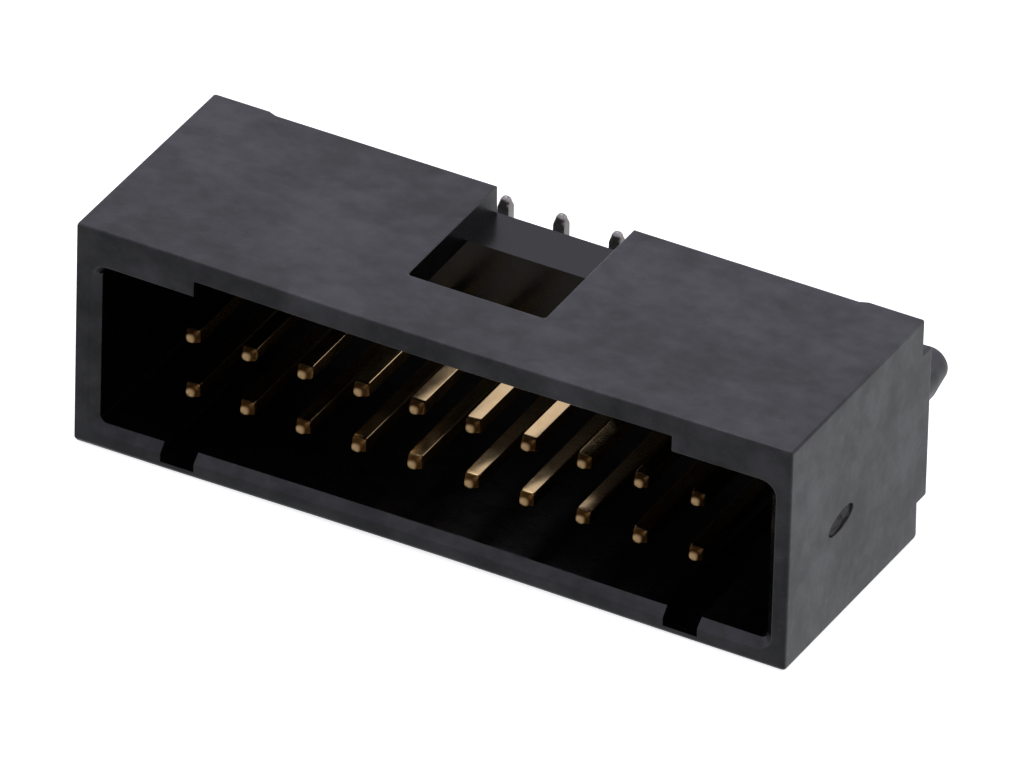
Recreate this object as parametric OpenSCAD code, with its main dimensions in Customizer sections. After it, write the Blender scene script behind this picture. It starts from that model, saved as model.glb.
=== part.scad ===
// Shrouded two-row box header for flat ribbon cable, surface-mount, upright type.
//
// The header lies on its long windowless side wall, as it comes to rest on a
// table. X runs along the rows, Y runs from the mating mouth (-Y) to the board
// feet and pegs (+Y), and Z is up. The origin is at the middle of the lowest
// face of the whole part. Inside the modules Y is counted from the mating rim.
// All sizes are in millimetres.

/* [Contacts] */
// Contacts in each of the two rows
columns = 10; // [4:1:20]
// Distance between neighbouring contacts, along and across the rows
pitch = 2.0; // [1.9:0.05:2.2]
// Side of the square mating post
post_w = 0.5; // [0.4:0.05:0.6]
// Side of the square wire from the base to the board
tail_w = 0.42; // [0.3:0.02:0.5]
// How far the post tips sit behind the mating rim
tip_recess = 0.67; // [0.3:0.01:1.5]
// Length of the coined point on each post
tip_taper = 0.34; // [0.2:0.02:0.6]
// Side of the flat left on the end of a coined point
tip_flat = 0.26; // [0.1:0.02:0.3]
// Inner radius of the bend between tail and foot
bend_r = 0.3; // [0.15:0.05:0.4]
// Reach of each foot, measured from the middle between the rows
foot_reach = 3.0; // [2.8:0.02:3.6]
// Length of the coined end of each foot
foot_taper = 0.26; // [0.1:0.02:0.5]

/* [Housing] */
// Height of the housing from its resting wall to the window wall
body_h = 8.2; // [8:0.1:9]
// Depth of the housing from the mating rim to its back
body_d = 8.84; // [8:0.02:10]
// Length of housing beyond the last contact, at each end
end_l = 3.72; // [3.6:0.02:5]
// Height of the middle between the two rows above the resting wall
row_mid_z = 3.7; // [3.6:0.05:4]

/* [Cavity] */
// Depth of the mating cavity
cavity_d = 6.82; // [6:0.02:7.2]
// Height of the mating cavity beside its relief
cavity_h = 5.72; // [5:0.02:6]
// Thickness of the resting wall
floor_wall = 0.86; // [0.7:0.02:1.2]
// Thickness of the two end walls
end_wall = 0.8; // [0.5:0.02:1]
// Thickness of the window wall over its wide inner relief
thin_wall = 1.05; // [0.8:0.01:1.2]
// How far the relief stops short of the end contacts
relief_inset = 0.5; // [0:0.1:1]
// Radius of the cavity's corners
cavity_r = 0.25; // [0.1:0.05:0.4]
// Width of the lead-in bevel round the mouth
lead_w = 0.3; // [0.1:0.05:0.4]
// Depth of the lead-in bevel round the mouth
lead_d = 0.3; // [0.1:0.05:0.6]

/* [Window and keyways] */
// Width of the latch window
window_w = 4.9; // [3:0.1:5.4]
// Distance of the window's front edge behind the mating rim
window_y = 2.87; // [2:0.01:4]
// Width of each keyway in the resting wall
key_w = 1.2; // [0.8:0.1:1.6]
// Skin left under each keyway
key_skin = 0.26; // [0.2:0.02:0.5]

/* [Board side] */
// Gap that the feet hold between the housing's back and the board
board_gap = 1.68; // [1.3:0.01:1.8]
// Width of the two raised strips at the ends of the housing's back
back_rib_w = 2.0; // [1.5:0.1:2.4]
// Height of the two raised strips
back_rib_h = 0.12; // [0.05:0.01:0.3]
// Height of the two pads that carry the pegs
pad_h = 0.49; // [0.3:0.01:0.8]
// Width of each pad along the rows
pad_w = 2.4; // [2.2:0.1:2.5]
// Length of each pad across the rows
pad_l = 5.6; // [4:0.1:7]
// Radius of each board peg
peg_r = 0.8; // [0.6:0.05:0.9]
// Distance of each peg's axis from its end wall
peg_inset = 1.5; // [1:0.02:1.6]
// Length of the straight part of each peg
peg_straight = 1.87; // [1:0.01:2.5]
// Length of the tapered end of each peg
peg_taper = 1.08; // [0.5:0.02:1.5]
// Radius at the tip of each peg
peg_tip_r = 0.63; // [0.4:0.01:0.7]

/* [Gate mark] */
// Length of the gate mark on one end wall
gate_l = 1.8; // [1:0.1:2.4]
// Width of the gate mark
gate_w = 0.5; // [0.3:0.05:0.8]
// Depth of the gate mark
gate_d = 0.12; // [0.05:0.01:0.2]
// Distance of the gate mark's middle behind the mating rim
gate_y = 3.5; // [2.5:0.1:5]
// Tilt of the gate mark
gate_tilt = 9; // [0:1:20]

/* [Hidden] */
// Overshoot that takes a cut clean through a face
over = 0.5;
// Facets round the pegs, bends and corners
peg_fn = 72;
bend_fn = 48;
corner_fn = 32;
gate_fn = 96;

contact_count = 2 * columns;
row_l = (columns - 1) * pitch;
body_l = row_l + 2 * end_l;
cavity_l = body_l - 2 * end_wall;
cavity_top = floor_wall + cavity_h;
relief_l = row_l - 2 * relief_inset;
relief_top = body_h - thin_wall;
middle_back_y = body_d - back_rib_h;
board_y = body_d + board_gap;
pad_y = body_d + pad_h;
whole_d = pad_y + peg_straight + peg_taper;

function contact_name(i) = str("contact_", i < 9 ? "0" : "", i + 1);
function contact_x(i) = -row_l / 2 + floor(i / 2) * pitch;
// +1 for the row beside the window wall, -1 for the row beside the resting wall
function row_side(i) = i % 2 == 0 ? 1 : -1;
function contact_z(i) = row_mid_z + row_side(i) * pitch / 2;

// Moves a piece drawn from the mating rim into the part's own frame
module in_frame() {
    translate([0, -whole_d / 2, 0]) children();
}

// A block given by its lowest and highest corners
module block(low, high) {
    translate(low) cube(high - low);
}

// ---- Housing ----

// Rectangle with round corners, centred
module rounded_rectangle(l, h, r) {
    square([l - 2 * r, h], center = true);
    square([l, h - 2 * r], center = true);
    for (sx = [-1, 1], sz = [-1, 1])
        translate([sx * (l / 2 - r), sz * (h / 2 - r)]) circle(r, $fn = corner_fn);
}

// Cut that is wider at the mouth by the lead-in bevel: across along X, depth along Y
module lead_in_outline(low, high) {
    polygon([[low - lead_w, 0], [low - lead_w, -over], [high + lead_w, -over],
             [high + lead_w, 0], [high, lead_d], [low, lead_d]]);
}

// Bevels along the two walls that lie above and below a pocket
module lead_in_along(l, low_z, high_z) {
    translate([-l / 2, 0, 0])
        rotate([90, 0, 90]) linear_extrude(l) mirror([1, -1]) lead_in_outline(low_z, high_z);
}

// Bevelled mouth of the cavity, with cones in its round corners
module cavity_lead_in(mid_z) {
    half_l = cavity_l / 2;
    half_h = cavity_h / 2;
    lead_in_along(cavity_l - 2 * cavity_r, mid_z - half_h, mid_z + half_h);
    translate([0, 0, mid_z - half_h + cavity_r])
        linear_extrude(cavity_h - 2 * cavity_r) lead_in_outline(-half_l, half_l);
    for (sx = [-1, 1], sz = [-1, 1])
        translate([sx * (half_l - cavity_r), 0, mid_z + sz * (half_h - cavity_r)])
            rotate([-90, 0, 0]) {
                cylinder(h = lead_d, r1 = cavity_r + lead_w, r2 = cavity_r, $fn = corner_fn);
                translate([0, 0, -over]) cylinder(h = over, r = cavity_r + lead_w, $fn = corner_fn);
            }
}

module cavity() {
    mid_z = floor_wall + cavity_h / 2;
    translate([0, cavity_d, mid_z]) rotate([90, 0, 0])
        linear_extrude(cavity_d + over) rounded_rectangle(cavity_l, cavity_h, cavity_r);
    cavity_lead_in(mid_z);
}

// Wide shallow relief that thins the window wall between the end contacts
module relief() {
    low_z = cavity_top - over;
    block([-relief_l / 2, -over, low_z], [relief_l / 2, cavity_d, relief_top]);
    lead_in_along(relief_l, low_z, relief_top);
}

// Latch window, which runs on as a slot over the base to the back
module window() {
    block([-window_w / 2, window_y, relief_top], [window_w / 2, body_d + over, body_h + over]);
}

module keyways() {
    for (side = [-1, 1])
        translate([side * row_l / 2, 0, 0])
            block([-key_w / 2, -over, key_skin], [key_w / 2, cavity_d, floor_wall + over]);
}

module contact_holes() {
    for (i = [0 : contact_count - 1])
        translate([contact_x(i), 0, contact_z(i)])
            block([-post_w / 2, cavity_d - over, -post_w / 2], [post_w / 2, body_d + over, post_w / 2]);
}

// Shallow lens left where the moulding gate was broken off
module gate_mark() {
    lens_r = (pow(gate_l / 2, 2) + pow(gate_w / 2, 2)) / gate_w;
    translate([body_l / 2 - gate_d, gate_y, row_mid_z])
        rotate([90, 0, 90]) rotate(gate_tilt) linear_extrude(gate_d + over)
            intersection_for (side = [-1, 1])
                translate([0, side * (lens_r - gate_w / 2)]) circle(lens_r, $fn = gate_fn);
}

// The middle of the back stands a little below its two ends
module back_step() {
    step_x = body_l / 2 - back_rib_w;
    block([-step_x, middle_back_y, -over], [step_x, body_d + over, body_h + over]);
}

// Pads at the two ends of the back, which carry the pegs
module pads() {
    mid_z = body_h / 2;
    for (side = [0, 1])
        mirror([side, 0, 0])
            block([body_l / 2 - pad_w, middle_back_y - over, mid_z - pad_l / 2],
                  [body_l / 2, pad_y, mid_z + pad_l / 2]);
}

module pegs() {
    for (side = [-1, 1])
        translate([side * (body_l / 2 - peg_inset), pad_y, body_h / 2]) rotate([-90, 0, 0]) {
            translate([0, 0, -over]) cylinder(h = over + peg_straight, r = peg_r, $fn = peg_fn);
            translate([0, 0, peg_straight])
                cylinder(h = peg_taper, r1 = peg_r, r2 = peg_tip_r, $fn = peg_fn);
        }
}

module housing() {
    color("#35353a") in_frame() {
        difference() {
            block([-body_l / 2, 0, 0], [body_l / 2, body_d, body_h]);
            cavity();
            relief();
            window();
            keyways();
            contact_holes();
            gate_mark();
            back_step();
        }
        pads();
        pegs();
    }
}

// ---- Contacts ----

// Side outline of a straight bar along +X whose far end is coined to a point
module coined_outline(l, w, taper, flat) {
    polygon([[0, -w / 2], [l - taper, -w / 2], [l, -flat / 2],
             [l, flat / 2], [l - taper, w / 2], [0, w / 2]]);
}

// Square bar along +X, coined on all four sides at its far end
module coined_bar(l, w, taper, flat) {
    intersection() {
        linear_extrude(w, center = true) coined_outline(l, w, taper, flat);
        rotate([90, 0, 0]) linear_extrude(w, center = true) coined_outline(l, w, taper, flat);
    }
}

// Mating post, from the back of the base forward to its point
module post() {
    translate([0, middle_back_y, 0]) rotate([0, 0, -90])
        coined_bar(middle_back_y - tip_recess, post_w, tip_taper, tip_flat);
}

// Straight piece behind the base and the quarter bend that turns it upwards
module tail() {
    bend_y = board_y - tail_w - bend_r;
    block([-tail_w / 2, middle_back_y, -tail_w / 2], [tail_w / 2, bend_y, tail_w / 2]);
    translate([0, bend_y, tail_w / 2 + bend_r]) rotate([90, 90, 90])
        rotate_extrude(angle = 90, $fn = bend_fn)
            translate([bend_r, -tail_w / 2]) square(tail_w);
}

// Flat foot that is soldered to the board
module foot() {
    foot_z = tail_w / 2 + bend_r;
    translate([0, board_y - tail_w / 2, foot_z]) rotate([0, -90, 0])
        coined_bar(foot_reach - pitch / 2 - foot_z, tail_w, foot_taper, tip_flat);
}

// One bent wire; in the lower row it is turned over, so its foot points down
module contact(i) {
    color("#c8a45c") in_frame() translate([contact_x(i), 0, contact_z(i)])
        mirror([0, 0, row_side(i) > 0 ? 0 : 1]) {
            post();
            tail();
            foot();
        }
}

housing();
for (i = [0 : contact_count - 1])
    contact(i);
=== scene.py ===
"""Looks of an upright surface-mount box header: one moulded housing and twenty bent contacts.

Lengths are in metres unless they say otherwise, in the part's own frame: X runs along
the rows, Y from the mating mouth (-Y) to the board feet and pegs (+Y), and Z is up.
Names ending in `_d` are depths from the mating rim towards the board, and names ending
in `_y` are places along Y.
"""

import logging
import math
from dataclasses import dataclass
from enum import Enum
from typing import Callable, Sequence

import bmesh
import bpy
import numpy as np
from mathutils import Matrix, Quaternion, Vector


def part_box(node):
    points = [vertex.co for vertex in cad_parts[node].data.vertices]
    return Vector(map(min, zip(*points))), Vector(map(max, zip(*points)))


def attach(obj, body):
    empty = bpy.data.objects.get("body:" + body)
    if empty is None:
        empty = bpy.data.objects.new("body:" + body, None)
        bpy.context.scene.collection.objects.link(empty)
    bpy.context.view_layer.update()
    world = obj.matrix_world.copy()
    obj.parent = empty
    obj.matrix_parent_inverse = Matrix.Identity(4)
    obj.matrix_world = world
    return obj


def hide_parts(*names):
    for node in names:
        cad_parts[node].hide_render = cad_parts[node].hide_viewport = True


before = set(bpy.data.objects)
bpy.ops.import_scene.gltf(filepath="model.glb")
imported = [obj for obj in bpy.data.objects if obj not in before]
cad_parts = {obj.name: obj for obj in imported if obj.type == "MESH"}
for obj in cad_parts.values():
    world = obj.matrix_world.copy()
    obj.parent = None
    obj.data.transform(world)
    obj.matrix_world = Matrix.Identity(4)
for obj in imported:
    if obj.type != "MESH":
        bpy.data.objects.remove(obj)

Span = tuple[float, float]
Triple = tuple[float, float, float]
Pair = tuple[Triple, Triple]
Object = bpy.types.Object
Material = bpy.types.Material
Socket = bpy.types.NodeSocket
Shell = bmesh.types.BMesh

LOG = logging.getLogger("box_header")
MM = 0.001
BODY = "root"
GROUP_OUTPUTS = ("Mask", "Height")
COLUMNS = 10
TIN_INSIDE = 0.1 * MM  # how far inside the housing's back the tin starts


class Slot(Enum):
    """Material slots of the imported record."""

    HOUSING = "housing"
    CONTACT = "contact"


class Row(Enum):
    """The two contact rows, by the way their feet turn along Z."""

    WINDOW_SIDE = 1
    RESTING_SIDE = -1


# ---- mesh helpers


def grid_quads(rows: int, columns: int) -> np.ndarray:
    """Quads of a grid of points that is closed along its columns.

    Point (i, j) has number i * columns + j, and column `columns` is column 0 again.

    Args:
        rows: Number of rings along the path.
        columns: Number of points round each ring.

    Returns:
        An array of (rows - 1) * columns quads.
    """
    i, j = np.meshgrid(np.arange(rows - 1), np.arange(columns), indexing="ij")
    k = (j + 1) % columns
    here, after = i * columns, (i + 1) * columns
    return np.stack([here + j, here + k, after + k, after + j], -1).reshape(-1, 4)


def cap_triangles(first: int, columns: int, centre: int, flip: bool) -> np.ndarray:
    """Triangles from one ring to a middle point.

    Args:
        first: Number of the ring's first point.
        columns: Number of points in the ring.
        centre: Number of the middle point.
        flip: True where the fan has to face the other way.

    Returns:
        An array of `columns` triangles.
    """
    j = np.arange(columns)
    ring = [first + j, first + (j + 1) % columns]
    return np.stack([*(ring[::-1] if flip else ring), np.full(columns, centre)], -1)


def mesh_object(name: str, points: np.ndarray, faces: Sequence[Sequence[int]]) -> Object:
    """Makes a smooth-shaded mesh object at the origin.

    Args:
        name: Name of the piece.
        points: Vertices, one row each.
        faces: Vertex numbers of each face.

    Returns:
        The new object, linked to the scene.
    """
    mesh = bpy.data.meshes.new(name)
    mesh.from_pydata(points.tolist(), [], faces)
    mesh.shade_smooth()
    mesh.update()
    piece = bpy.data.objects.new(name, mesh)
    bpy.context.scene.collection.objects.link(piece)
    return piece


def even_normals(piece: Object) -> None:
    """Lets large flat faces keep flat shading beside their small rounded edges."""
    modifier = piece.modifiers.new("even_normals", "WEIGHTED_NORMAL")
    modifier.keep_sharp = True


def soft_step(x: np.ndarray, low: float, high: float) -> np.ndarray:
    """Smooth rise from 0 at `low` to 1 at `high`: 3 t^2 - 2 t^3."""
    t = np.clip((x - low) / (high - low), 0.0, 1.0)
    return t * t * (3.0 - 2.0 * t)


def soft_min(a: np.ndarray, b: np.ndarray, width: float) -> np.ndarray:
    """Lower of two values with a rounded meeting: -w log(exp(-a/w) + exp(-b/w))."""
    return -width * np.logaddexp(-a / width, -b / width)


def direction(azimuth: float, elevation: float) -> Vector:
    """Unit vector outwards: azimuth from -Y towards +X and elevation, both in degrees."""
    a, e = math.radians(azimuth), math.radians(elevation)
    return Vector((math.sin(a) * math.cos(e), -math.cos(a) * math.cos(e), math.sin(e)))


# ---- shader helpers


class NodeSheet:
    """A small writer of shader nodes in one node tree."""

    RANGE_INPUTS = ("Value", "From Min", "From Max", "To Min", "To Max")

    def __init__(self, tree: bpy.types.NodeTree) -> None:
        """Takes the tree that the nodes go into."""
        self.tree = tree

    def add(self, kind: str, inputs: dict | None = None, **settings: object) -> bpy.types.Node:
        """Adds a node, sets its properties and fills or links its inputs.

        Args:
            kind: Node type without its "ShaderNode" prefix.
            inputs: Socket name or number to a value or to another node's output socket.
            **settings: Properties of the node.

        Returns:
            The new node.
        """
        node = self.tree.nodes.new("ShaderNode" + kind)
        for key, value in settings.items():
            setattr(node, key, value)
        for key, value in (inputs or {}).items():
            if isinstance(value, Socket):
                self.tree.links.new(value, node.inputs[key])
            else:
                node.inputs[key].default_value = value
        return node

    def maths(self, operation: str, *values: object) -> Socket:
        """Adds a Math node and returns its output."""
        return self.add("Math", dict(enumerate(values)), operation=operation).outputs[0]

    def noise(self, vector: object, scale: object, detail: float, roughness: float) -> Socket:
        """Adds a Noise Texture and returns its value output."""
        inputs = {"Vector": vector, "Scale": scale, "Detail": detail, "Roughness": roughness}
        return self.add("TexNoise", inputs).outputs["Fac"]

    def remap(
        self, value: object, low: float, high: float, to_low: object = 0.0, to_high: object = 1.0
    ) -> Socket:
        """Smoothly brings the span from low to high to the one from to_low to to_high."""
        inputs = dict(zip(self.RANGE_INPUTS, (value, low, high, to_low, to_high)))
        return self.add("MapRange", inputs, interpolation_type="SMOOTHSTEP").outputs["Result"]

    def blend(self, mask: Socket, low: object, high: object) -> Socket:
        """Mixes two colours, each given or another node's output, by a mask."""
        low, high = (c if isinstance(c, Socket) else (*c, 1.0) for c in (low, high))
        return self.add("Mix", {"Factor": mask, 6: low, 7: high}, data_type="RGBA").outputs[2]

    def surface(self, colour: Socket, rough: Socket, height: Socket, relief: float) -> None:
        """Gives the tree's Principled shader its colour, roughness and bumps.

        Args:
            colour: Output that gives the colour.
            rough: Output that gives the roughness.
            height: Output that gives the height of the bumps, as a share of the relief.
            relief: Height of the tallest bumps.
        """
        bump = self.add("Bump", {"Strength": 1.0, "Distance": relief, "Height": height})
        shader = self.tree.nodes["Principled BSDF"]
        for key, value in ("Base Color", colour), ("Roughness", rough), ("Normal", bump.outputs[0]):
            self.tree.links.new(value, shader.inputs[key])


def new_material(name: str) -> tuple[Material, bpy.types.Node]:
    """Makes a material that uses nodes.

    Args:
        name: Name of the material.

    Returns:
        The material and its Principled shader.
    """
    made = bpy.data.materials.new(name)
    made.use_nodes = True
    return made, made.node_tree.nodes["Principled BSDF"]


def shader_group(name: str, values: dict[str, float], fill: Callable) -> bpy.types.NodeTree:
    """Builds a shader node group that turns a vector into a mask and a height.

    Args:
        name: Name of the group.
        values: Its other inputs, each with its first value.
        fill: Takes the sheet and the input sockets, and returns mask and height.

    Returns:
        The group's node tree.
    """
    tree = bpy.data.node_groups.new(name, "ShaderNodeTree")
    tree.interface.new_socket(name="Vector", in_out="INPUT", socket_type="NodeSocketVector")
    for key, value in values.items():
        made = tree.interface.new_socket(name=key, in_out="INPUT", socket_type="NodeSocketFloat")
        made.default_value = value
    for key in GROUP_OUTPUTS:
        tree.interface.new_socket(name=key, in_out="OUTPUT", socket_type="NodeSocketFloat")
    given = tree.nodes.new("NodeGroupInput").outputs
    end = tree.nodes.new("NodeGroupOutput")
    for key, value in zip(GROUP_OUTPUTS, fill(NodeSheet(tree), given)):
        tree.links.new(value, end.inputs[key])
    return tree


@dataclass(frozen=True)
class SkinRecipe:
    """How the moulded skin's three patterns are made and put together."""

    cloud_noise: Span = (2.0, 0.5)  # detail and roughness of the broad clouds
    flow_noise: Span = (3.0, 0.6)  # detail and roughness of the flow marks
    grain_noise: Span = (1.0, 0.5)  # detail and roughness of the grain
    stretch: Triple = (0.8, 1.0, 0.85)  # scale of the flow marks and the grain along X, Y and Z
    shares: Span = (0.5, 0.5)  # shares of the clouds and the flow marks in the mask
    mask_span: Span = (0.28, 0.78)  # mean of those two that gives a mask of 0, and of 1
    speck_span: Span = (0.6, 0.85)  # grain at which a pale speck starts, and at which it is full
    speck: float = 0.25  # what a full speck adds to the mask
    heights: Triple = (0.8, 0.12, 0.02)  # clouds, flow marks and grain, as shares of the relief

    def fill(self, sheet: NodeSheet, given: dict) -> tuple:
        """Adds the patterns.

        Args:
            sheet: Writer of the group's nodes.
            given: The group's inputs.

        Returns:
            The mask, which is 0 between the clouds, and the height.
        """
        place = given["Vector"]
        stretched = sheet.add("Mapping", {"Vector": place, "Scale": self.stretch}).outputs[0]
        sizes = (given[key] for key in ("Cloud Size", "Flow Size", "Grain Size"))
        per_cloud, per_flow, per_grain = (sheet.maths("DIVIDE", 1.0, size) for size in sizes)
        clouds = sheet.noise(place, per_cloud, *self.cloud_noise)
        flow = sheet.noise(stretched, per_flow, *self.flow_noise)
        grain = sheet.noise(stretched, per_grain, *self.grain_noise)
        flow_part = sheet.maths("MULTIPLY", flow, self.shares[1])
        mean = sheet.maths("MULTIPLY_ADD", clouds, self.shares[0], flow_part)
        specks = sheet.remap(grain, *self.speck_span, 0.0, self.speck)
        mask = sheet.maths("ADD", sheet.remap(mean, *self.mask_span), specks)
        height = sheet.maths("MULTIPLY", flow, self.heights[1])
        height = sheet.maths("MULTIPLY_ADD", clouds, self.heights[0], height)
        return mask, sheet.maths("MULTIPLY_ADD", grain, self.heights[2], height)


@dataclass(frozen=True)
class LineRecipe:
    """Fine lines along a drawn wire, and slow changes along it."""

    noise: Span = (3.0, 0.6)  # detail and roughness of both patterns
    stretch: Triple = (1.0, 0.04, 1.0)  # scale of the lines across the wire, along it and beyond
    patch_span: Span = (0.3, 0.7)  # patch value that gives a mask of 0, and of 1
    line_height: float = 0.7  # height of the lines, the patches' being 1

    def fill(self, sheet: NodeSheet, given: dict) -> tuple:
        """Adds both patterns on the wire's own surface map, across it and then along it.

        Args:
            sheet: Writer of the group's nodes.
            given: The group's inputs.

        Returns:
            The mask of the patches and the height of both.
        """
        stretched = sheet.add("Mapping", {"Vector": given["Vector"], "Scale": self.stretch})
        lines = sheet.noise(stretched.outputs[0], given["Lines"], *self.noise)
        patches = sheet.noise(given["Vector"], given["Patches"], *self.noise)
        height = sheet.maths("MULTIPLY_ADD", lines, self.line_height, patches)
        return sheet.remap(patches, *self.patch_span), height


class Groups:
    """The shared shader groups, each built once."""

    def __init__(self) -> None:
        """Builds every group."""
        sizes = {"Cloud Size": 2.0 * MM, "Flow Size": 0.4 * MM, "Grain Size": 0.06 * MM}
        self.skin = shader_group("moulded_skin", sizes, SkinRecipe().fill)
        scales = {"Lines": 20.0, "Patches": 1.5}
        self.lines = shader_group("drawn_lines", scales, LineRecipe().fill)


# ---- finishes


@dataclass(frozen=True)
class PlasticFinish:
    """Black glass-filled plastic straight from the mould."""

    name: str  # name of the material
    colours: Pair  # colours between the clouds and on them, linear
    rough: Span  # roughness between the clouds and on them
    cloud: float  # size of the clouds
    flow: float  # size of the flow marks
    grain: float  # size of the grain
    relief: float  # height of the skin's pattern
    index: float = 1.5  # index of refraction

    def material(self, groups: Groups) -> Material:
        """Builds the material.

        Args:
            groups: The shared shader groups.

        Returns:
            The new material.
        """
        made, shader = new_material(self.name)
        sheet = NodeSheet(made.node_tree)
        place = sheet.add("TexCoord").outputs["Object"]
        sizes = {"Cloud Size": self.cloud, "Flow Size": self.flow, "Grain Size": self.grain}
        skin = sheet.add("Group", {"Vector": place, **sizes}, node_tree=groups.skin)
        mask, height = skin.outputs
        rough = sheet.remap(mask, 0.0, 1.0, *self.rough)
        sheet.surface(sheet.blend(mask, *self.colours), rough, height, self.relief)
        shader.inputs["IOR"].default_value = self.index
        return made


@dataclass(frozen=True)
class PlatedFinish:
    """Drawn and coined wire, gold on the mating post and tin on the soldered tail."""

    name: str  # name of the material
    peak: Triple  # colour at the very ends of the coined points, close to plain gold, linear
    coined: Triple  # colour of the coined faces behind them, darkened as painted shade, linear
    gold: Pair  # colours of the gold in its duller and its brighter patches, linear
    tin: Pair  # the same for the tin
    gold_rough: Span  # roughness of the gold in those patches
    tin_rough: Span  # the same for the tin
    coined_rough: float  # roughness of the coined points of the posts
    spread: float  # how much more the drawing lines scatter light across the wire than along it
    relief: float  # depth of the drawing lines
    seam: float = 0.05 * MM  # half the length over which gold passes into tin
    peak_span: Span = (0.01 * MM, 0.14 * MM)  # behind the point, where the peak's colour fades into the coined faces' painted shade
    drawn_span: Span = (-0.1 * MM, 0.05 * MM)  # past the coined faces, where drawn gold takes over

    def material(self, groups: Groups, point_y: float, tin_from: float) -> Material:
        """Builds the material.

        Args:
            groups: The shared shader groups.
            point_y: Y of the posts' points.
            tin_from: Y at which the gold ends and the tin starts.

        Returns:
            The new material.
        """
        made, shader = new_material(self.name)
        sheet = NodeSheet(made.node_tree)
        surface_map = sheet.add("UVMap", uv_map=Contact.SURFACE_MAP).outputs[0]
        lines = sheet.add("Group", {"Vector": surface_map}, node_tree=groups.lines)
        mask, height = lines.outputs
        place = sheet.add("SeparateXYZ", {0: sheet.add("TexCoord").outputs["Object"]}).outputs["Y"]
        tin = sheet.remap(place, tin_from - self.seam, tin_from + self.seam)
        gold_colour = sheet.blend(mask, *self.gold)
        tin_colour = sheet.blend(mask, *self.tin)
        coined_to = point_y + Contact.tip_taper
        drawn = sheet.remap(place, *(coined_to + past for past in self.drawn_span))
        behind_peak = sheet.remap(place, *(point_y + past for past in self.peak_span))
        # Behind the plain gold ends, the coined faces are painted darker: painted shade.
        shaded_coined_colour = sheet.blend(behind_peak, self.peak, self.coined)
        gold_colour = sheet.blend(drawn, shaded_coined_colour, gold_colour)
        drawn_rough = sheet.remap(mask, 0.0, 1.0, *self.gold_rough)
        gold_rough = sheet.remap(drawn, 0.0, 1.0, self.coined_rough, drawn_rough)
        tin_rough = sheet.remap(mask, 0.0, 1.0, *self.tin_rough)
        mix = sheet.add("Mix", {"Factor": tin, 2: gold_rough, 3: tin_rough}, data_type="FLOAT")
        colour = sheet.blend(tin, gold_colour, tin_colour)
        sheet.surface(colour, mix.outputs[0], height, self.relief)
        shader.inputs["Metallic"].default_value = 1.0
        shader.inputs["Anisotropic"].default_value = self.spread
        across = sheet.add("Tangent", direction_type="UV_MAP", uv_map=Contact.SURFACE_MAP)
        sheet.tree.links.new(across.outputs[0], shader.inputs["Tangent"])
        return made


MOULDED_SKIN = PlasticFinish(
    name="moulded_black_plastic",
    colours=((0.0004, 0.0006, 0.0006), (0.0500, 0.0505, 0.0562)),
    rough=(0.36, 0.22),
    cloud=3.2 * MM,
    flow=0.7 * MM,
    grain=0.16 * MM,
    relief=0.035 * MM,
)

# Core side of the mouth, window and lead-in. It is glossier and has a lower index, and its colour
# is painted shade, far darker than the outer skin.
CORE_SKIN_WITH_PAINTED_SHADE = PlasticFinish(
    name="core_side_plastic_painted_shade",
    colours=((0.0008, 0.0008, 0.0009), (0.0016, 0.0016, 0.0018)),
    rough=(0.24, 0.32),
    cloud=2.6 * MM,
    flow=0.6 * MM,
    grain=0.16 * MM,
    relief=0.02 * MM,
    index=1.46,
)

GATE_SCAR = PlasticFinish(
    name="broken_gate_plastic",
    colours=((0.006, 0.006, 0.006), (0.045, 0.045, 0.044)),
    rough=(0.5, 0.8),
    cloud=0.3 * MM,
    flow=0.1 * MM,
    grain=0.03 * MM,
    relief=0.03 * MM,
)

PLATED_WIRE = PlatedFinish(
    name="gold_and_tin_wire",
    # peak is close to plain gold; coined is painted shade, far darker and browner than the gold.
    peak=(0.80, 0.59, 0.305),
    coined=(0.33, 0.17, 0.05),
    gold=((0.80, 0.57, 0.28), (0.90, 0.68, 0.36)),
    tin=((0.30, 0.28, 0.265), (0.50, 0.485, 0.47)),
    gold_rough=(0.15, 0.19),
    tin_rough=(0.30, 0.42),
    coined_rough=0.70,
    spread=0.9,
    relief=0.0006 * MM,
)


# ---- contacts


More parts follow.
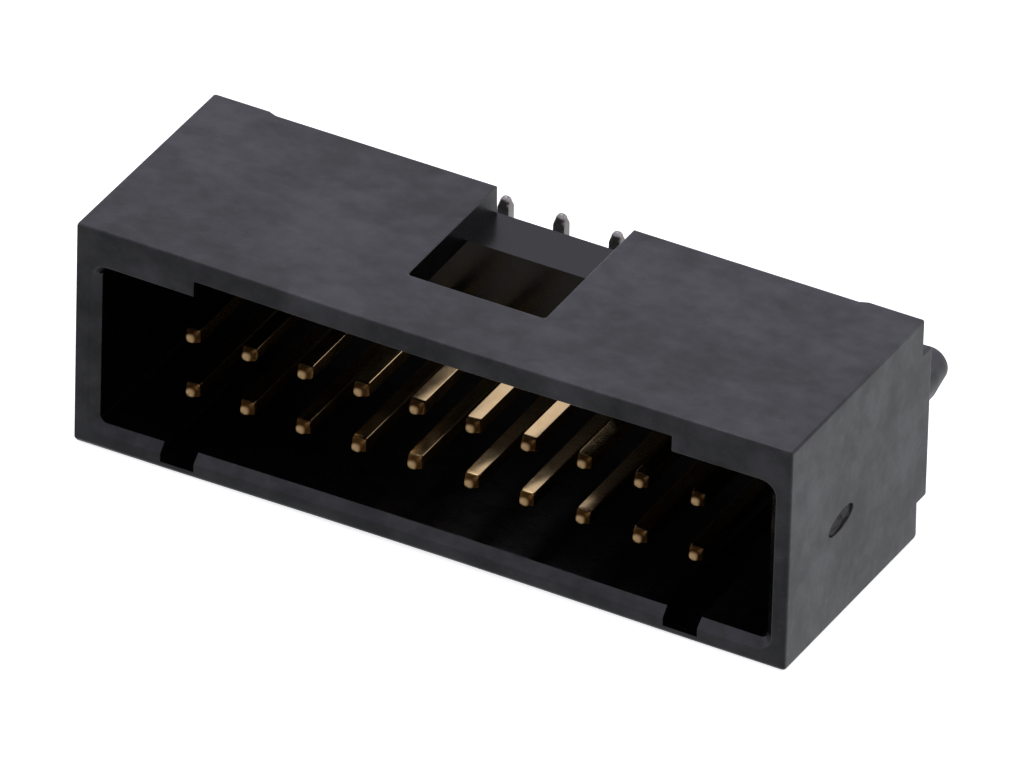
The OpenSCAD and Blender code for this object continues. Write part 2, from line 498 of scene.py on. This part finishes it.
@dataclass
class Contact:
    """One bent square wire: coined mating post, tail, bend and coined board foot."""

    SURFACE_MAP = "wire_surface"

    number: int  # number of the contact, from 1
    row: Row  # the row it stands in
    base_back: float  # Y at which the post gives way to the tail
    post_w: float = 0.5 * MM  # side of the mating post
    tail_w: float = 0.42 * MM  # side of the tail and foot
    tip_flat: float = 0.26 * MM  # side of the flat on both ends
    tip_taper: float = 0.34 * MM  # length of the coined point of the post
    foot_taper: float = 0.26 * MM  # length of the coined end of the foot
    bend_r: float = 0.3 * MM  # inner radius of the bend
    edge_r: float = 0.035 * MM  # radius along the wire's four edges
    end_r: float = 0.13 * MM  # radius round the flats of the coined ends
    end_edge_r: float = 0.25 * MM  # radius of the four edges at the coined ends
    meet_w: float = 0.02 * MM  # rounding of the turn from coined face to straight wire
    step_w: float = 0.02 * MM  # half the length of the step from post to tail
    past_point: float = 0.15 * MM  # reach of the close rings past the post's coined faces
    past_foot: float = 0.12 * MM  # the same at the foot
    fade_l: float = 0.1 * MM  # length past the coined faces at which the edges are crisp
    round_share: float = 0.8  # largest share of the half side that an edge radius may take
    corner_points: int = 6  # points round each rounded edge
    sag: float = 0.07 * MM  # how far the points of the resting-side row hang below their line
    stray: float = 0.025 * MM  # how far a point may stand off its place
    twist: float = 3.5  # how far a post may be turned at its point, in degrees
    map_shift: int = 13  # shift of the surface map between contacts, in millimetres
    seed: int = 13296  # first number of every contact's own seed

    def __post_init__(self) -> None:
        """Reads the place of this contact from its solid and draws its variation."""
        self.node = f"contact_{self.number:02d}"
        draws = np.random.default_rng([self.seed, self.number]).uniform(-1, 1, 3)
        self.stray_x, self.stray_z = draws[:2] * self.stray
        self.roll = math.radians(self.twist) * draws[2]
        low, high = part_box(self.node)
        half = self.post_w / 2
        self.x = (low.x + high.x) / 2
        self.tip_y, self.board_y = low.y, high.y
        up = self.row is Row.WINDOW_SIDE
        self.z = low.z + half if up else high.z - half
        self.foot_reach = high.z - self.z if up else self.z - low.z
        self.free_l = self.base_back - self.tip_y
        self.turn_r = self.bend_r + self.tail_w / 2
        self.bend_y = self.board_y - self.tail_w / 2 - self.turn_r
        self.to_bend = self.bend_y - self.tip_y
        self.turn_l = self.turn_r * math.pi / 2
        self.length = self.to_bend + self.turn_l + self.foot_reach - self.turn_r

    def stations(self) -> np.ndarray:
        """Places the wire's rings, closer together where its shape changes.

        Returns:
            Distances along the wire.
        """
        arc = self.end_r * (1 - np.cos(np.linspace(0, math.pi / 2, 6)))
        point = np.linspace(self.end_r, self.tip_taper + self.past_point, 14)[1:]
        foot = np.linspace(self.end_r, self.foot_taper + self.past_foot, 12)[1:]
        step = self.free_l + np.linspace(-1, 1, 5) * self.step_w
        post = np.linspace(point[-1], step[0], 5)[1:-1]
        tail = np.linspace(step[-1], self.to_bend, 3)[1:-1]
        turn = self.to_bend + np.linspace(0, self.turn_l, 13)
        end = (self.length - np.concatenate([arc, foot]))[::-1]
        return np.unique(np.concatenate([arc, point, post, step, tail, turn, end]))

    def half_width(self, s: np.ndarray) -> np.ndarray:
        """Half the wire's side at each distance along it.

        The full side passes from post to tail at the housing's back. Each coined end
        grows in a straight line from its flat, and a quarter circle rounds the flat.

        Args:
            s: Distances along the wire.

        Returns:
            One half width for each distance.
        """
        passed = soft_step(s, self.free_l - self.step_w, self.free_l + self.step_w)
        full = self.post_w / 2 - (self.post_w - self.tail_w) / 2 * passed
        for from_end, taper, side in (
            (s, self.tip_taper, self.post_w),
            (self.length - s, self.foot_taper, self.tail_w),
        ):
            flat = self.tip_flat / 2
            coined = flat + (side / 2 - flat) * from_end / taper
            inner = np.clip(1 - from_end / self.end_r, 0, 1)
            full = soft_min(full, coined, self.meet_w) - self.end_r * (1 - np.sqrt(1 - inner**2))
        return full

    def centre_line(self, s: np.ndarray) -> tuple[np.ndarray, np.ndarray, np.ndarray]:
        """Centre line in the wire's own plane: straight, quarter circle, straight.

        Args:
            s: Distances along the wire.

        Returns:
            Y, height over the row and the angle that the wire has turned through.
        """
        angle = np.clip((s - self.to_bend) / self.turn_r, 0, math.pi / 2)
        past = np.clip(s - self.to_bend - self.turn_l, 0, None)
        y = self.tip_y + np.clip(s, 0, self.to_bend) + self.turn_r * np.sin(angle)
        rise = self.turn_r * (1 - np.cos(angle)) + past
        return y, rise, angle

    def lean(self, s: np.ndarray) -> tuple[np.ndarray, np.ndarray]:
        """Small lean of the free post: the offset at its point times the share of its length.

        Args:
            s: Distances along the wire.

        Returns:
            Offsets along X and Z.
        """
        share = np.clip(1 - s / self.free_l, 0, 1)
        drop = self.sag if self.row is Row.RESTING_SIDE else 0.0
        return self.stray_x * share, (self.stray_z - drop) * share

    def ring(self, s: np.ndarray, half: np.ndarray) -> tuple[np.ndarray, np.ndarray]:
        """Square with round corners: each corner is a quarter circle about a core corner.

        The free post is turned about its line, most at its point and not at its base.

        Args:
            s: Distance along the wire of each ring.
            half: Half side of each ring.

        Returns:
            Offsets across X and across the wire's plane, one row for each ring.
        """
        quarter = np.linspace(0, math.pi / 2, self.corner_points)
        turn = np.concatenate([quarter + k * math.pi / 2 for k in range(4)])
        corner = np.repeat(np.arange(4) * math.pi / 2 + math.pi / 4, self.corner_points)
        from_end = np.minimum(s, self.length - s)
        crisp = soft_step(from_end, 0.0, self.tip_taper + self.fade_l)
        r = self.edge_r + (self.end_edge_r - self.edge_r) * (1 - crisp)
        r = np.minimum(r, half * self.round_share)[:, None]
        core = (half[:, None] - r) * math.sqrt(2)
        across = core * np.cos(corner) + r * np.cos(turn)
        off = core * np.sin(corner) + r * np.sin(turn)
        fade = np.clip(1 - s / self.free_l, 0, 1)
        roll = self.row.value * self.roll * fade[:, None]
        cos, sin = np.cos(roll), np.sin(roll)
        return across * cos + off * sin, off * cos - across * sin

    def build(self) -> Object:
        """Sweeps the ring along the centre line and closes both ends.

        Returns:
            The wire's object.
        """
        s = self.stations()
        y, rise, angle = self.centre_line(s)
        across, off = self.ring(s, self.half_width(s))
        lean_x, lean_z = self.lean(s)
        turn = angle[:, None]
        side = self.row.value
        place_x = self.x + across + lean_x[:, None]
        place_y = y[:, None] - off * np.sin(turn)
        place_z = self.z + side * (rise[:, None] + off * np.cos(turn)) + lean_z[:, None]
        points = np.stack([place_x, place_y, place_z], -1)
        rows, columns = across.shape
        count = rows * columns
        ends = np.array([points[0].mean(0), points[-1].mean(0)])
        quads = grid_quads(rows, columns)
        point = cap_triangles(0, columns, count, True)
        foot = cap_triangles(count - columns, columns, count + 1, False)
        caps = np.concatenate([point, foot])
        if side > 0:
            quads, caps = quads[:, ::-1], caps[:, ::-1]
        places = np.concatenate([points.reshape(-1, 3), ends])
        faces = quads.tolist() + caps.tolist()
        piece = mesh_object(f"wire_{self.number:02d}", places, faces)
        self.map_surface(piece, s, across, off)
        even_normals(piece)
        return piece

    def map_surface(
        self, piece: Object, s: np.ndarray, across: np.ndarray, off: np.ndarray
    ) -> None:
        """Gives each corner its way round and its way along the wire, in millimetres.

        Args:
            piece: The wire's object.
            s: Distances along the wire of its rings.
            across: Offsets of the ring points across X.
            off: Offsets of the ring points across the wire's plane.
        """
        mesh = piece.data
        numbers = np.zeros(len(mesh.loops), np.int32)
        mesh.loops.foreach_get("vertex_index", numbers)
        turn = np.append(np.arctan2(off, across) / (2 * math.pi), [0.0, 0.0])
        along = np.append(np.repeat(s, across.shape[1]), [0.0, self.length])
        u = turn[numbers] * 4 * self.post_w / MM
        v = (along[numbers] + self.number * self.map_shift * MM) / MM
        layer = mesh.uv_layers.new(name=self.SURFACE_MAP)
        layer.data.foreach_set("uv", np.stack([u, v], -1).astype(np.float32).ravel())

    def dress(self, piece: Object, metal: Material) -> None:
        """Gives the piece its metal and puts it in its solid's place.

        Args:
            piece: The wire's object.
            metal: Its material.
        """
        piece.data.materials.append(metal)
        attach(piece, BODY)
        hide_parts(self.node)


# ---- housing


@dataclass(frozen=True)
class EdgeShares:
    """Shares of the outer radius that the kinds of edge get from the mould."""

    gate: float = 0.15  # outline of the gate mark
    peg_tip: float = 0.3
    pad: float = 0.35  # pads, and the rest of the pegs
    slot_corner: float = 0.3
    back: float = 0.7
    slot_side: float = 0.25
    heavy: float = 0.85  # upright outer edges, and those of the resting wall
    outer: float = 0.32
    mouth: float = 0.17
    window: float = 0.8  # upright corners at the window's front


@dataclass
class Housing:
    """The one moulding, taken from its solid and given the mould's round edges."""

    body_h: float = 8.2 * MM  # height over the resting wall
    body_d: float = 8.84 * MM  # depth of the housing without pads and pegs
    middle_back_d: float = 8.72 * MM  # depth between the raised strips at the ends
    strip_w: float = 2.0 * MM  # width of those strips
    cavity_d: float = 6.82 * MM  # depth of the mating cavity
    cavity_low: float = 0.86 * MM  # height of the cavity's lower wall
    cavity_high: float = 6.58 * MM  # height of the cavity's upper wall
    relief_high: float = 7.15 * MM  # height of the wide inner relief
    end_wall: float = 0.8 * MM  # thickness of the end walls
    lead: float = 0.3 * MM  # width and depth of the mouth's lead-in bevel
    window_w: float = 4.9 * MM  # width of the latch window
    window_d: float = 2.87 * MM  # depth at which the window starts
    gate_depth: float = 0.12 * MM  # depth of the gate mark
    gate_d: float = 3.5 * MM  # depth position of the gate mark
    gate_z: float = 3.7 * MM  # height of the gate mark
    gate_l: float = 1.8 * MM  # length of the gate mark
    gate_tilt: float = 9.0  # tilt of the gate mark, in degrees
    gate_w: float = 0.5 * MM  # width of the gate mark in the solid
    gate_reach: float = 0.5 * MM  # height each way that counts as the gate mark's own
    blunt_l: float = 1.62 * MM  # length of the gate mark as it broke
    blunt_w: float = 0.66 * MM  # width of the gate mark as it broke
    gate_rise: float = 0.026  # size of the lumps on the gate mark's floor, in millimetres
    gate_cuts: int = 6  # cuts along each edge of the gate mark's floor
    ramp: float = 0.3 * MM  # length over which the raised strips run out
    upper_lead: float = 0.17 * MM  # added depth of the lead-in on the mouth's upper wall
    outer_r: float = 0.22 * MM  # radius of the outer edges
    station: float = 1.0 * MM  # spacing of the cross cuts that let the long walls bow
    stations: int = 9  # cross cuts on each side of the middle one
    top_bow: float = 0.12 * MM  # how far the mouth's upper wall sags at mid length
    low_bow: float = 0.08 * MM  # how far the mouth's lower wall rises at mid length
    core_shade_from: float = 0.2 * MM  # height over which faces in the mouth have the core side's skin, whose dark colour is painted shade
    flat_angle: float = 0.3  # angle up to which faces are one flat face, in degrees
    sharp_angle: float = 30.0  # angle from which an edge is sharp, in degrees
    round_steps: int = 4  # faces across each rounded edge
    tolerance: float = 0.002 * MM  # largest difference between two lengths that count as the same
    shares: EdgeShares = EdgeShares()  # shares of the outer radius
    solid: str = "housing"  # name of the solid that the piece stands for

    def __post_init__(self) -> None:
        """Reads the housing's place from its solid."""
        low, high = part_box(self.solid)
        self.half_l = high.x
        self.rim_y = low.y
        self.tip_y = high.y

    def near(self, a: float, b: float) -> bool:
        """True if two lengths are the same within the tolerance."""
        return abs(a - b) < self.tolerance

    def edge_share(self, edge: bmesh.types.BMEdge) -> float:
        """Share of the outer radius that one sharp edge gets from the mould.

        Args:
            edge: A sharp edge of the merged mesh.

        Returns:
            From 0 for an edge that stays crisp to 1 for the full radius.
        """
        a, b = (v.co for v in edge.verts)
        mid = (a + b) / 2
        x, d, z = abs(mid.x), mid.y - self.rim_y, mid.z
        on_mark = mid.x > self.half_l - self.gate_depth - self.tolerance
        on_mark &= abs(d - self.gate_d) < self.gate_l / 2 + self.tolerance
        if on_mark and abs(z - self.gate_z) < self.gate_reach:
            return self.shares.gate
        if d > self.body_d + self.tolerance:
            return self.shares.peg_tip if self.near(mid.y, self.tip_y) else self.shares.pad
        outside = self.near(x, self.half_l) or self.near(z, 0) or self.near(z, self.body_h)
        at_window = self.near(x, self.window_w / 2)
        if d > self.middle_back_d - self.tolerance:
            if at_window and z > self.cavity_high + self.tolerance:
                return self.shares.slot_corner
            return self.shares.back if outside else 0.0
        if outside:
            if at_window and self.near(z, self.body_h):
                return self.shares.slot_side
            upright = self.near(a.x, b.x) and self.near(a.y, b.y)
            return self.shares.heavy if upright or self.near(z, 0) else self.shares.outer
        if d < self.lead + self.tolerance:
            return self.shares.mouth
        return self.shares.window if at_window and self.near(d, self.window_d) else 0.0

    def may_round(self, edge: bmesh.types.BMEdge) -> bool:
        """True unless the edge is an inner corner at the pads and pegs."""
        depth = (edge.verts[0].co.y + edge.verts[1].co.y) / 2 - self.rim_y
        return edge.calc_face_angle_signed(0.0) > 0 or depth < self.middle_back_d - self.tolerance

    def merged(self) -> Shell:
        """Copies the solid's mesh and joins its triangles into whole flat faces.

        Returns:
            The copy.
        """
        shell = bmesh.new()
        shell.from_mesh(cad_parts[self.solid].data)
        bmesh.ops.remove_doubles(shell, verts=shell.verts, dist=self.tolerance / 10)
        bmesh.ops.dissolve_limit(
            shell,
            angle_limit=math.radians(self.flat_angle),
            verts=shell.verts,
            edges=shell.edges,
            use_dissolve_boundaries=False,
        )
        return shell

    def mark_edges(self, shell: Shell) -> None:
        """Writes each sharp edge's share of the radius, or its crispness, into the mesh.

        Args:
            shell: The housing's mesh.
        """
        weight = shell.edges.layers.float.new("bevel_weight_edge")
        sharp = math.radians(self.sharp_angle)
        for edge in shell.edges:
            if len(edge.link_faces) == 2 and edge.calc_face_angle(0.0) > sharp:
                share = self.edge_share(edge) if self.may_round(edge) else 0.0
                edge[weight] = share
                edge.smooth = share > 0

    def cut_stations(self, shell: Shell) -> None:
        """Cuts the long walls across X, so that they can bow.

        Args:
            shell: The housing's mesh.
        """
        for x in np.arange(-self.stations, self.stations + 1) * self.station:
            geometry = [*shell.verts, *shell.edges, *shell.faces]
            bmesh.ops.bisect_plane(
                shell, geom=geometry, dist=self.tolerance, plane_co=(x, 0, 0), plane_no=(1, 0, 0)
            )

    def ease_lead(self, shell: Shell) -> None:
        """Lets the lead-in of the mouth's upper wall reach deeper, less so at its corners.

        Args:
            shell: The housing's mesh.
        """
        from_z = self.cavity_high - self.lead
        for v in shell.verts:
            if self.near(v.co.y - self.rim_y, self.lead) and v.co.z < self.body_h - 2 * self.lead:
                v.co.y += self.upper_lead * float(soft_step(v.co.z, from_z, self.cavity_high))

    def ease_step(self, shell: Shell) -> None:
        """Slants the ends of the raised strips at the back into short ramps.

        Args:
            shell: The housing's mesh.
        """
        step_x = self.half_l - self.strip_w
        for v in shell.verts:
            at_back = self.near(v.co.y - self.rim_y, self.middle_back_d)
            if at_back and self.near(abs(v.co.x), step_x):
                v.co.x -= math.copysign(self.ramp, v.co.x)

    def blunt_gate(self, shell: Shell) -> None:
        """Turns the gate mark's lens outline into a blunter ellipse on the same tilted axis.

        A point at `along` on the axis and at the share q of the lens's half width goes to
        a sin(t) along and q b cos(t) across, where t is pi / 2 times along / a, and a
        and b are half the ellipse's length and width. The lens has two arcs of one radius.

        Args:
            shell: The housing's mesh.
        """
        tilt = math.radians(self.gate_tilt)
        axis = Vector((0, math.cos(tilt), math.sin(tilt)))
        across = Vector((0, -math.sin(tilt), math.cos(tilt)))
        middle = Vector((0, self.rim_y + self.gate_d, self.gate_z))
        half_l, half_w = self.gate_l / 2, self.gate_w / 2
        arc_r = (half_l**2 + half_w**2) / (2 * half_w)
        for v in shell.verts:
            along, off = (v.co - middle).dot(axis), (v.co - middle).dot(across)
            on_end = v.co.x > self.half_l - self.gate_depth - self.tolerance
            if not on_end or abs(off) > half_w + self.tolerance:
                continue
            if abs(along) > half_l + self.tolerance:
                continue
            width = math.sqrt(max(arc_r**2 - along**2, 0)) - (arc_r - half_w)
            share = min(max(off / max(width, self.tolerance), -1), 1)
            t = math.pi / 2 * min(max(along / half_l, -1), 1)
            v.co += axis * (self.blunt_l / 2 * math.sin(t) - along)
            v.co += across * (self.blunt_w / 2 * share * math.cos(t) - off)

    def roughen_gate(self, shell: Shell) -> None:
        """Breaks up the floor of the gate mark into a rough surface.

        Each point rises by `gate_rise` times 2 + sin(31 y + 1) sin(47 z + 2) +
        sin(83 y + 9 z) sin(71 z), with y and z in millimetres.

        Args:
            shell: The housing's mesh.
        """
        floor_x = self.half_l - self.gate_depth
        floor = [f for f in shell.faces if self.near(f.calc_center_median().x, floor_x)]
        fan = bmesh.ops.poke(shell, faces=floor)["faces"]
        rim = {e for f in fan for e in f.edges if all(g in fan for g in e.link_faces)}
        cut = bmesh.ops.subdivide_edges(shell, edges=list(rim), cuts=self.gate_cuts)
        inner = [v for v in cut["geom_inner"] if isinstance(v, bmesh.types.BMVert)]
        place = np.array([v.co for v in inner]) / MM
        y, z = place[:, 1], place[:, 2]
        coarse = np.sin(31 * y + 1) * np.sin(47 * z + 2)
        fine = np.sin(83 * y + z * 9) * np.sin(71 * z)
        for vertex, lift in zip(inner, self.gate_rise * (2 + coarse + fine)):
            vertex.co.x += float(lift) * MM

    def bow(self, mesh: bpy.types.Mesh) -> None:
        """Lets the mouth's long walls bow inwards, as thin moulded walls do.

        The shift along Z is the bow times cos^2(pi x / L), fading to nothing from the
        rim to the cavity's back, for the upper wall downwards and for the lower upwards.

        Args:
            mesh: The housing's mesh.
        """
        place = np.zeros(len(mesh.vertices) * 3, np.float32)
        mesh.vertices.foreach_get("co", place)
        place = place.reshape(-1, 3)
        x, d, z = place[:, 0], place[:, 1] - self.rim_y, place[:, 2]
        along = np.cos(np.pi * x / (2 * self.half_l)) ** 2
        fade = 1 - soft_step(d, 0.0, self.cavity_d)
        upper = z > self.cavity_high - 0.5 * self.lead
        lower = z < self.cavity_low + 0.5 * self.lead
        place[:, 2] += along * fade * (self.low_bow * lower - self.top_bow * upper)
        mesh.vertices.foreach_set("co", place.ravel())
        mesh.update()

    def build(self) -> Object:
        """Builds the housing: merge, mark edges, cut, ease, roughen, bow and round.

        Returns:
            The housing's object.
        """
        shell = self.merged()
        self.mark_edges(shell)
        self.cut_stations(shell)
        self.ease_lead(shell)
        self.ease_step(shell)
        self.roughen_gate(shell)
        self.blunt_gate(shell)
        for face in shell.faces:
            face.smooth = True
        mesh = bpy.data.meshes.new("moulded_housing")
        shell.to_mesh(mesh)
        shell.free()
        self.bow(mesh)
        piece = bpy.data.objects.new("moulded_housing", mesh)
        bpy.context.scene.collection.objects.link(piece)
        rounding = piece.modifiers.new("mould_radii", "BEVEL")
        rounding.limit_method = "WEIGHT"
        rounding.width = self.outer_r
        rounding.segments = self.round_steps
        rounding.use_clamp_overlap = False
        even_normals(piece)
        return piece

    def dress(self, piece: Object, finishes: Sequence[Material]) -> None:
        """Gives the moulding its finishes, and puts it in its solid's place.

        Args:
            piece: The housing's object.
            finishes: Outer skin, broken gate and core side with its painted shade, in this order.
        """
        mesh = piece.data
        for finish in finishes:
            mesh.materials.append(finish)
        centre = np.zeros(len(mesh.polygons) * 3, np.float32)
        mesh.polygons.foreach_get("center", centre)
        x, y, z = centre.reshape(-1, 3).T
        d = y - self.rim_y
        eps = 5 * self.tolerance
        in_gate = (x > self.half_l - self.gate_depth - eps) & (x < self.half_l - eps)
        in_gate &= abs(d - self.gate_d) < self.gate_l / 2
        in_gate &= abs(z - self.gate_z) < self.gate_reach
        # Faces in the mouth, the window and the lead-in take the core skin, whose dark colour is
        # painted shade in these recesses.
        in_shaded_core = (d > self.lead - eps) & (d < self.cavity_d + eps)
        in_shaded_core &= abs(x) < self.half_l - self.end_wall + eps
        in_shaded_core &= (z > self.core_shade_from) & (z < self.relief_high + eps)
        in_window = (abs(x) < self.window_w / 2 + eps) & (d > self.window_d - eps)
        in_window &= (z > self.cavity_high - eps) & (z < self.body_h - 2 * self.top_bow)
        in_lead = (d > eps) & (d < self.lead) & (x > self.end_wall - self.half_l)
        in_lead &= x < self.half_l
        in_lead &= (z > self.cavity_low + self.lead) & (z < self.body_h - 2 * self.lead)
        in_shaded_core |= in_window | in_lead
        number = np.where(in_gate, 1, np.where(in_shaded_core, 2, 0)).astype(np.int32)
        mesh.polygons.foreach_set("material_index", number)
        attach(piece, BODY)
        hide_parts(self.solid)


# ---- studio


@dataclass(frozen=True)
class Lamp:
    """A square soft lamp that looks at the middle of the object."""

    name: str  # name of the lamp
    azimuth: float  # angle from -Y towards +X, in degrees
    elevation: float  # angle over the floor, in degrees
    distance: float  # distance from the middle
    side: float  # side of the lamp
    radiance: float  # brightness of its face, 1 being the white of the surroundings

    def build(self) -> None:
        """Adds the lamp; its power is pi times radiance times area."""
        back = direction(self.azimuth, self.elevation)
        data = bpy.data.lights.new(self.name, "AREA")
        data.size = self.side
        data.energy = math.pi * self.radiance * self.side**2
        made = bpy.data.objects.new(self.name, data)
        made.location = back * self.distance
        made.rotation_mode = "QUATERNION"
        made.rotation_quaternion = (-back).to_track_quat("-Z", "Y")
        made.visible_camera = False
        bpy.context.scene.collection.objects.link(made)


@dataclass
class Studio:
    """Pale floor, white surroundings and soft lamps."""

    floor_size: float = 4.0  # side of the floor
    floor_points: int = 9  # points along each side of the floor's grid
    floor_colour: Triple = (0.90, 0.90, 0.90)  # linear colour of the floor
    floor_rough: float = 0.9  # roughness of the floor
    floor_glow: float = 0.75  # light that the floor adds of its own, as a light table does
    behind: float = 0.75  # brightness of the surroundings behind the object
    front: Span = (0.36, 0.55)  # brightness in front of it, below and above
    tints: Pair = ((0.985, 1.0, 1.03), (1.0, 0.975, 1.13))  # of the surroundings, below and above
    turn_span: Span = (-0.6, 0.1)  # Y of a direction wholly in front, and of one wholly behind
    rise_span: Span = (-0.3, 0.3)  # Z of a direction wholly below in front, and of one wholly above
    tint_span: Span = (-0.2, 0.4)  # Z of a direction with the low tint, and with the high tint
    lamps: tuple[Lamp, ...] = (  # the lamps
        Lamp("soft_key", 205.0, 68.0, 0.5, 0.2, 2.0),
        Lamp("edge_light", 143.0, 22.0, 0.6, 0.2, 1.0),
    )

    def floor(self) -> None:
        """Adds the floor, a flat square grid of points under the object."""
        count = self.floor_points
        line = np.linspace(-self.floor_size / 2, self.floor_size / 2, count)
        x, y = np.meshgrid(line, line)
        points = np.stack([x.ravel(), y.ravel(), np.zeros(x.size)], -1)
        corner = np.add.outer(np.arange(count - 1) * count, np.arange(count - 1))
        quads = np.stack([corner, corner + 1, corner + count + 1, corner + count], -1)
        piece = mesh_object("studio_floor", points, quads.reshape(-1, 4).tolist())
        paint, shader = new_material("pale_floor")
        values = {
            "Base Color": (*self.floor_colour, 1.0),
            "Roughness": self.floor_rough,
            "Specular IOR Level": 0.0,
            "Emission Color": (1.0, 1.0, 1.0, 1.0),
            "Emission Strength": self.floor_glow,
        }
        for key, value in values.items():
            shader.inputs[key].default_value = value
        piece.data.materials.append(paint)
        piece.visible_diffuse = False
        piece.visible_glossy = False

    def surroundings(self) -> None:
        """White world: bright behind, dimmer in front and dimmest low in front.

        The brightness depends smoothly on the direction's Y and, in front, on its Z.
        The camera sees plain white.
        """
        world = bpy.data.worlds.new("studio")
        world.use_nodes = True
        sheet = NodeSheet(world.node_tree)
        axes = sheet.add("SeparateXYZ", {0: sheet.add("TexCoord").outputs["Generated"]}).outputs
        front = sheet.remap(axes["Z"], *self.rise_span, *self.front)
        level = sheet.remap(axes["Y"], *self.turn_span, front, self.behind)
        upper = sheet.remap(axes["Z"], *self.tint_span)
        tint = sheet.blend(upper, *self.tints)
        seen = sheet.add("LightPath").outputs["Is Camera Ray"]
        back = world.node_tree.nodes["Background"]
        world.node_tree.links.new(sheet.blend(seen, tint, (1.0, 1.0, 1.0)), back.inputs["Color"])
        world.node_tree.links.new(sheet.maths("MAXIMUM", level, seen), back.inputs["Strength"])
        bpy.context.scene.world = world

    def build(self) -> None:
        """Sets up floor, surroundings and lamps."""
        self.floor()
        self.surroundings()
        for lamp in self.lamps:
            lamp.build()


@dataclass
class Viewpoint:
    """The camera's place, given as angles round the object."""

    azimuth: float = 27.93  # angle from -Y towards +X, in degrees
    elevation: float = 33.45  # angle over the horizon, in degrees
    roll: float = 1.59  # turn about the line of sight, in degrees
    distance: float = 0.68981  # distance from the aim point
    lens: float = 772.216  # focal length in millimetres
    sensor: float = 36.0  # width of the sensor in millimetres
    clip: Span = (0.01, 10.0)  # nearest and farthest distance that the camera sees
    aim: Triple = (-0.060 * MM, -0.623 * MM, 3.310 * MM)  # point at the middle of the view

    def build(self) -> None:
        """Makes the camera and gives it to the scene."""
        back = direction(self.azimuth, self.elevation)
        data = bpy.data.cameras.new("camera")
        data.lens = self.lens
        data.sensor_width = self.sensor
        data.clip_start, data.clip_end = self.clip
        camera = bpy.data.objects.new("camera", data)
        camera.location = Vector(self.aim) + back * self.distance
        camera.rotation_mode = "QUATERNION"
        turn = Quaternion((0, 0, 1), math.radians(self.roll))
        camera.rotation_quaternion = (-back).to_track_quat("-Z", "Y") @ turn
        bpy.context.scene.collection.objects.link(camera)
        bpy.context.scene.camera = camera


# ---- main


def main() -> None:
    """Builds the camera, the pieces and the studio in order."""
    logging.basicConfig(level=logging.INFO, format="%(name)s: %(message)s")
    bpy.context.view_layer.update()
    Viewpoint().build()
    bpy.context.scene.view_settings.view_transform = "Standard"
    groups = Groups()
    housing = Housing()
    piece = housing.build()
    skins = [finish.material(groups) for finish in (MOULDED_SKIN, GATE_SCAR, CORE_SKIN_WITH_PAINTED_SHADE)]
    housing.dress(piece, skins)
    LOG.info("%s: %d faces before rounding", piece.name, len(piece.data.polygons))
    base_back = housing.rim_y + housing.middle_back_d
    point_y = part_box("contact_01")[0].y
    metal = PLATED_WIRE.material(groups, point_y, base_back - TIN_INSIDE)
    for number in range(1, 2 * COLUMNS + 1):
        row = Row.WINDOW_SIDE if number % 2 else Row.RESTING_SIDE
        contact = Contact(number, row, base_back)
        piece = contact.build()
        contact.dress(piece, metal)
        LOG.info("%s: %d faces", piece.name, len(piece.data.polygons))
    Studio().build()


if __name__ == "__main__":
    main()
